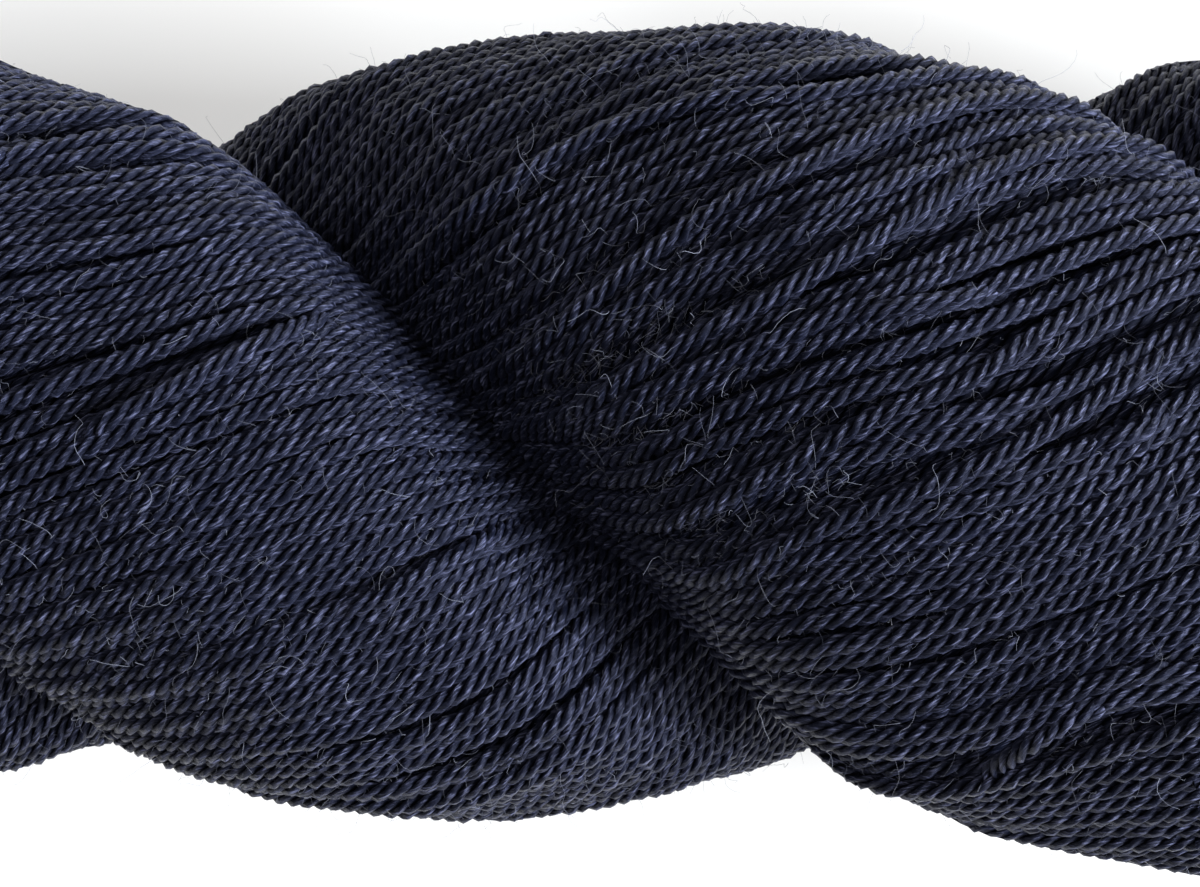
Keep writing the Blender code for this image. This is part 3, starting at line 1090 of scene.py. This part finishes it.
def fuzz_tree():
    """Plants lines on a skin, as thickly as its attribute fuzz says, bends them and sweeps them."""
    tree = new_tree(
        "raise fuzz",
        (
            ("Fibres per Square Metre", "Float", 1.0),
            ("Fibre Length", "Float", 1.0 * MM),
            ("Fibre Radius", "Float", 0.017 * MM),
            ("Lift", "Float", 0.0),
            ("Curl", "Float", 0.0),
            ("Bends", "Float", 1.0),
            ("Points", "Int", 2),
            ("Seed", "Int", 0),
            ("Wool", "Material", None),
        ),
    )
    given = tree.nodes.new("NodeGroupInput").outputs

    # Each fibre is planted as a straight line that leans its own way
    density = calculate(tree, "MULTIPLY", kept_value(tree, "fuzz"), given["Fibres per Square Metre"])
    roots = place_node(
        tree,
        "GeometryNodeDistributePointsOnFaces",
        {"distribute_method": "RANDOM"},
        {"Mesh": given["Geometry"], "Density": density, "Seed": given["Seed"]},
    )
    own_place = random_value(tree, "FLOAT_VECTOR", 1, (0.0,) * 3, (FAR_APART,) * 3)
    marked = keep_value(tree, roots.outputs["Points"], "own_place", own_place, "FLOAT_VECTOR")
    lean = random_value(tree, "FLOAT_VECTOR", 2, (-1.0,) * 3, (1.0,) * 3)
    direction = added(tree, scaled(tree, roots.outputs["Normal"], given["Lift"]), lean)
    turned_up = place_node(tree, "FunctionNodeAlignRotationToVector", {"axis": "Z"}, {"Vector": direction})
    share = random_value(tree, "FLOAT", 4, SHORTEST, 1.0)
    line = place_node(tree, "GeometryNodeCurvePrimitiveLine", None, {"End": (0.0, 0.0, 1.0)}).outputs[0]
    fine_line = place_node(
        tree, "GeometryNodeResampleCurve", {"mode": "COUNT"}, {"Curve": line, "Count": given["Points"]}
    )
    planted = place_node(
        tree,
        "GeometryNodeInstanceOnPoints",
        None,
        {
            "Points": marked,
            "Instance": fine_line.outputs[0],
            "Rotation": turned_up.outputs[0],
            "Scale": calculate(tree, "MULTIPLY", share, given["Fibre Length"]),
        },
    )
    real = place_node(tree, "GeometryNodeRealizeInstances", None, {0: planted.outputs[0]})

    # Noise, read along a line from the fibre's own place, moves its points sideways and so bends it
    factor = tree.nodes.new("GeometryNodeSplineParameter").outputs["Factor"]
    step_along = place_node(
        tree, "ShaderNodeCombineXYZ", None, {2: calculate(tree, "MULTIPLY", factor, given["Bends"])}
    )
    noise_place = added(tree, kept_value(tree, "own_place", "FLOAT_VECTOR"), step_along.outputs[0])
    noise = noise_at(tree, noise_place, 1.0, 0.5)
    centred = added(tree, noise.outputs["Color"], (-0.5, -0.5, -0.5))
    bend = scaled(tree, centred, calculate(tree, "MULTIPLY", given["Curl"], 2.0))
    bent = place_node(tree, "GeometryNodeSetPosition", None, {"Geometry": real.outputs[0], "Offset": bend})

    # It is swept with a three-sided section and gets thinner to its tip
    taper = calculate(tree, "MULTIPLY_ADD", factor, -THINNING, 1.0)
    section = place_node(
        tree,
        "GeometryNodeCurvePrimitiveCircle",
        {"mode": "RADIUS"},
        {"Resolution": 3, "Radius": given["Fibre Radius"]},
    )
    swept = place_node(
        tree,
        "GeometryNodeCurveToMesh",
        None,
        {"Curve": bent.outputs[0], "Profile Curve": section.outputs[0], "Scale": taper, "Fill Caps": True},
    )
    finish_tree(tree, swept.outputs[0], given["Wool"])
    return tree


raise_fuzz = fuzz_tree()
print("fuzz tree:", len(raise_fuzz.nodes), "nodes")

# %% Fibre material
FIBRE_DARK = (0.035, 0.038, 0.060, 1.0)
FIBRE_PALE = (0.40, 0.43, 0.56, 1.0)


def fibre_material():
    """Most fibres are dark, and a few are pale."""
    material, tree, shader = new_material("loose_fibre")
    own_place = painted(tree, "own_place", "Vector")
    chance = place_node(tree, "ShaderNodeTexWhiteNoise", {"noise_dimensions": "3D"}, {"Vector": own_place})
    paleness = calculate(tree, "POWER", chance.outputs["Value"], 2.0)
    colour = mix_colour(tree, paleness, FIBRE_DARK, FIBRE_PALE)
    fill_inputs(tree, shader, {"Base Color": colour, "Roughness": 0.5})
    return material


fibre = fibre_material()
print("material:", fibre.name)

# %% Where fibres have worked loose
FELT_DEPTH = 0.5  # of the skin that they grow from
FUZZ_EDGE = math.radians(112)  # near the crease there are none
FUZZ_EASE = 0.4  # angle over which they thin out there
FUZZ_CLOSE = 0.8  # how thickly they grow in the close-up
FUZZ_ROUND = 0.12  # and elsewhere
FLOOR_GAP = 5.0  # none grow lower than this, so that none reach through the floor
FLOOR_EASE = 3.0
FUZZ_SPOTS = (
    # x, y, reach in mm, how much thicker
    (0.0, -1.0, 8.0, 3.4),
    (10.0, 6.0, 8.0, 2.2),
    (-27.0, -14.0, 8.0, 1.5),
    (20.0, -6.0, 8.0, 1.4),
)


def felt_object():
    """The skin that fibres grow from, with an attribute for how thickly they grow."""
    points, normals, angles = skin_points(FELT_DEPTH)
    mesh = skin_mesh("felt", points)
    shown = smooth((FUZZ_EDGE - np.abs(angles)) / FUZZ_EASE)
    thick = np.full(len(points), FUZZ_CLOSE)
    for spot_x, spot_y, reach, more in FUZZ_SPOTS:
        away = (points[:, 0] - spot_x) ** 2 + (points[:, 1] - spot_y) ** 2
        thick += more * np.exp(-away / (2 * reach**2))
    clear_of_floor = smooth((points[:, 2] - FLOOR_GAP) / FLOOR_EASE)
    amount = shown * clear_of_floor * np.where(in_close_up(points, normals), thick, FUZZ_ROUND)
    mesh.attributes.new("fuzz", "FLOAT", "POINT").data.foreach_set("value", amount.astype(np.float32))
    return add_object("felt", mesh)


# %% Grow long and short fibres
FIBRES = (
    # name, number on a square metre, length in mm, lift, curl in mm, bends, points in a line, seed
    ("long", 86000.0, 4.6, 0.40, 2.6, 1.4, 12, 5),
    ("short", 312000.0, 1.9, 0.35, 0.9, 1.3, 6, 6),
)
for fibre_name, thickly, long_mm, raised, curl_mm, bends, line_points, seed in FIBRES:
    fibre_values = {
        "Fibres per Square Metre": thickly,
        "Fibre Length": long_mm * MM,
        "Lift": raised,
        "Curl": curl_mm * MM,
        "Bends": bends,
        "Points": line_points,
        "Seed": seed,
        "Wool": fibre,
    }
    keep_piece(grow(felt_object(), raise_fuzz, fibre_values, f"loose_fibres_{fibre_name}"))

# %% [markdown]
# ## Floor and light
#
# The pale floor glows a little, so that it stays white round the dark wool. One broad soft light comes from
# the right, low enough to rake across the yarns. A weak, wide one overhead and the room fill the shadows.

# %% Floor
FLOOR_HALF = 4.0  # half its size, in metres
FLOOR_GREY = (0.45, 0.45, 0.45, 1.0)
FLOOR_GLOW = 0.5


def floor_object():
    """A wide, plain floor at the height on which the hank rests."""
    mesh = bpy.data.meshes.new("floor")
    half = FLOOR_HALF
    corners = [(-half, -half, 0), (half, -half, 0), (half, half, 0), (-half, half, 0)]
    mesh.from_pydata(corners, [], [(0, 1, 2, 3)])
    material, tree, shader = new_material("pale_floor")
    look = {
        "Base Color": FLOOR_GREY,
        "Roughness": 0.9,
        "Emission Color": (1.0, 1.0, 1.0, 1.0),
        "Emission Strength": FLOOR_GLOW,
    }
    fill_inputs(tree, shader, look)
    mesh.materials.append(material)
    return add_object("floor", mesh)


floor_object()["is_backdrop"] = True
print("floor:", 2 * FLOOR_HALF, "m wide")

# %% Lights
KEY_AZIMUTH = math.radians(-8)
KEY_HEIGHT = math.radians(34)
KEY_DISTANCE = 0.9  # metres, as all that follow
AIM = (0.0, 0.0, 0.02)
KEY_SIZE, KEY_POWER, KEY_COLOUR = 0.30, 21.0, (0.93, 0.97, 1.0)
FILL_PLACE = (-0.1, 0.0, 0.9)
FILL_SIZE, FILL_POWER, FILL_COLOUR = 0.8, 3.0, (1.0, 0.93, 0.84)
ROOM_COLOUR, ROOM_STRENGTH = (0.97, 0.97, 1.0, 1.0), 0.14


def area_light(name, place, size, power, colour):
    """A square light in watts, aimed at the hank."""
    data = bpy.data.lights.new(name, "AREA")
    data.shape = "SQUARE"
    data.size = size
    data.energy = power
    data.color = colour
    light = add_object(name, data)
    light.location = place
    light.rotation_euler = (Vector(AIM) - Vector(place)).to_track_quat("-Z", "Y").to_euler()


level = KEY_DISTANCE * math.cos(KEY_HEIGHT)
key_place = (
    level * math.cos(KEY_AZIMUTH),
    level * math.sin(KEY_AZIMUTH),
    KEY_DISTANCE * math.sin(KEY_HEIGHT),
)
area_light("key", key_place, KEY_SIZE, KEY_POWER, KEY_COLOUR)
area_light("fill", FILL_PLACE, FILL_SIZE, FILL_POWER, FILL_COLOUR)
world = bpy.data.worlds.new("studio")
world.use_nodes = True
background = world.node_tree.nodes["Background"]
background.inputs["Color"].default_value = ROOM_COLOUR
background.inputs["Strength"].default_value = ROOM_STRENGTH
bpy.context.scene.world = world
bpy.context.scene.view_settings.view_transform = "Standard"
print("key light at", [round(v, 2) for v in key_place])

# %% [markdown]
# ## The finished hank
#
# Its box is written down beside the box of the solid, so that both can be compared.

# %% Sizes, and the end
total = sum(len(piece.data.loops) - 2 * len(piece.data.polygons) for piece in pieces)
print("all pieces:", total, "triangles")
visual_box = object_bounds()
sizes = {"cad": [list(c) for c in cad_box], "visual": [list(c) for c in visual_box]}
for label, box in sizes.items():
    print(label, [[round(v * 1000, 1) for v in corner] for corner in box])
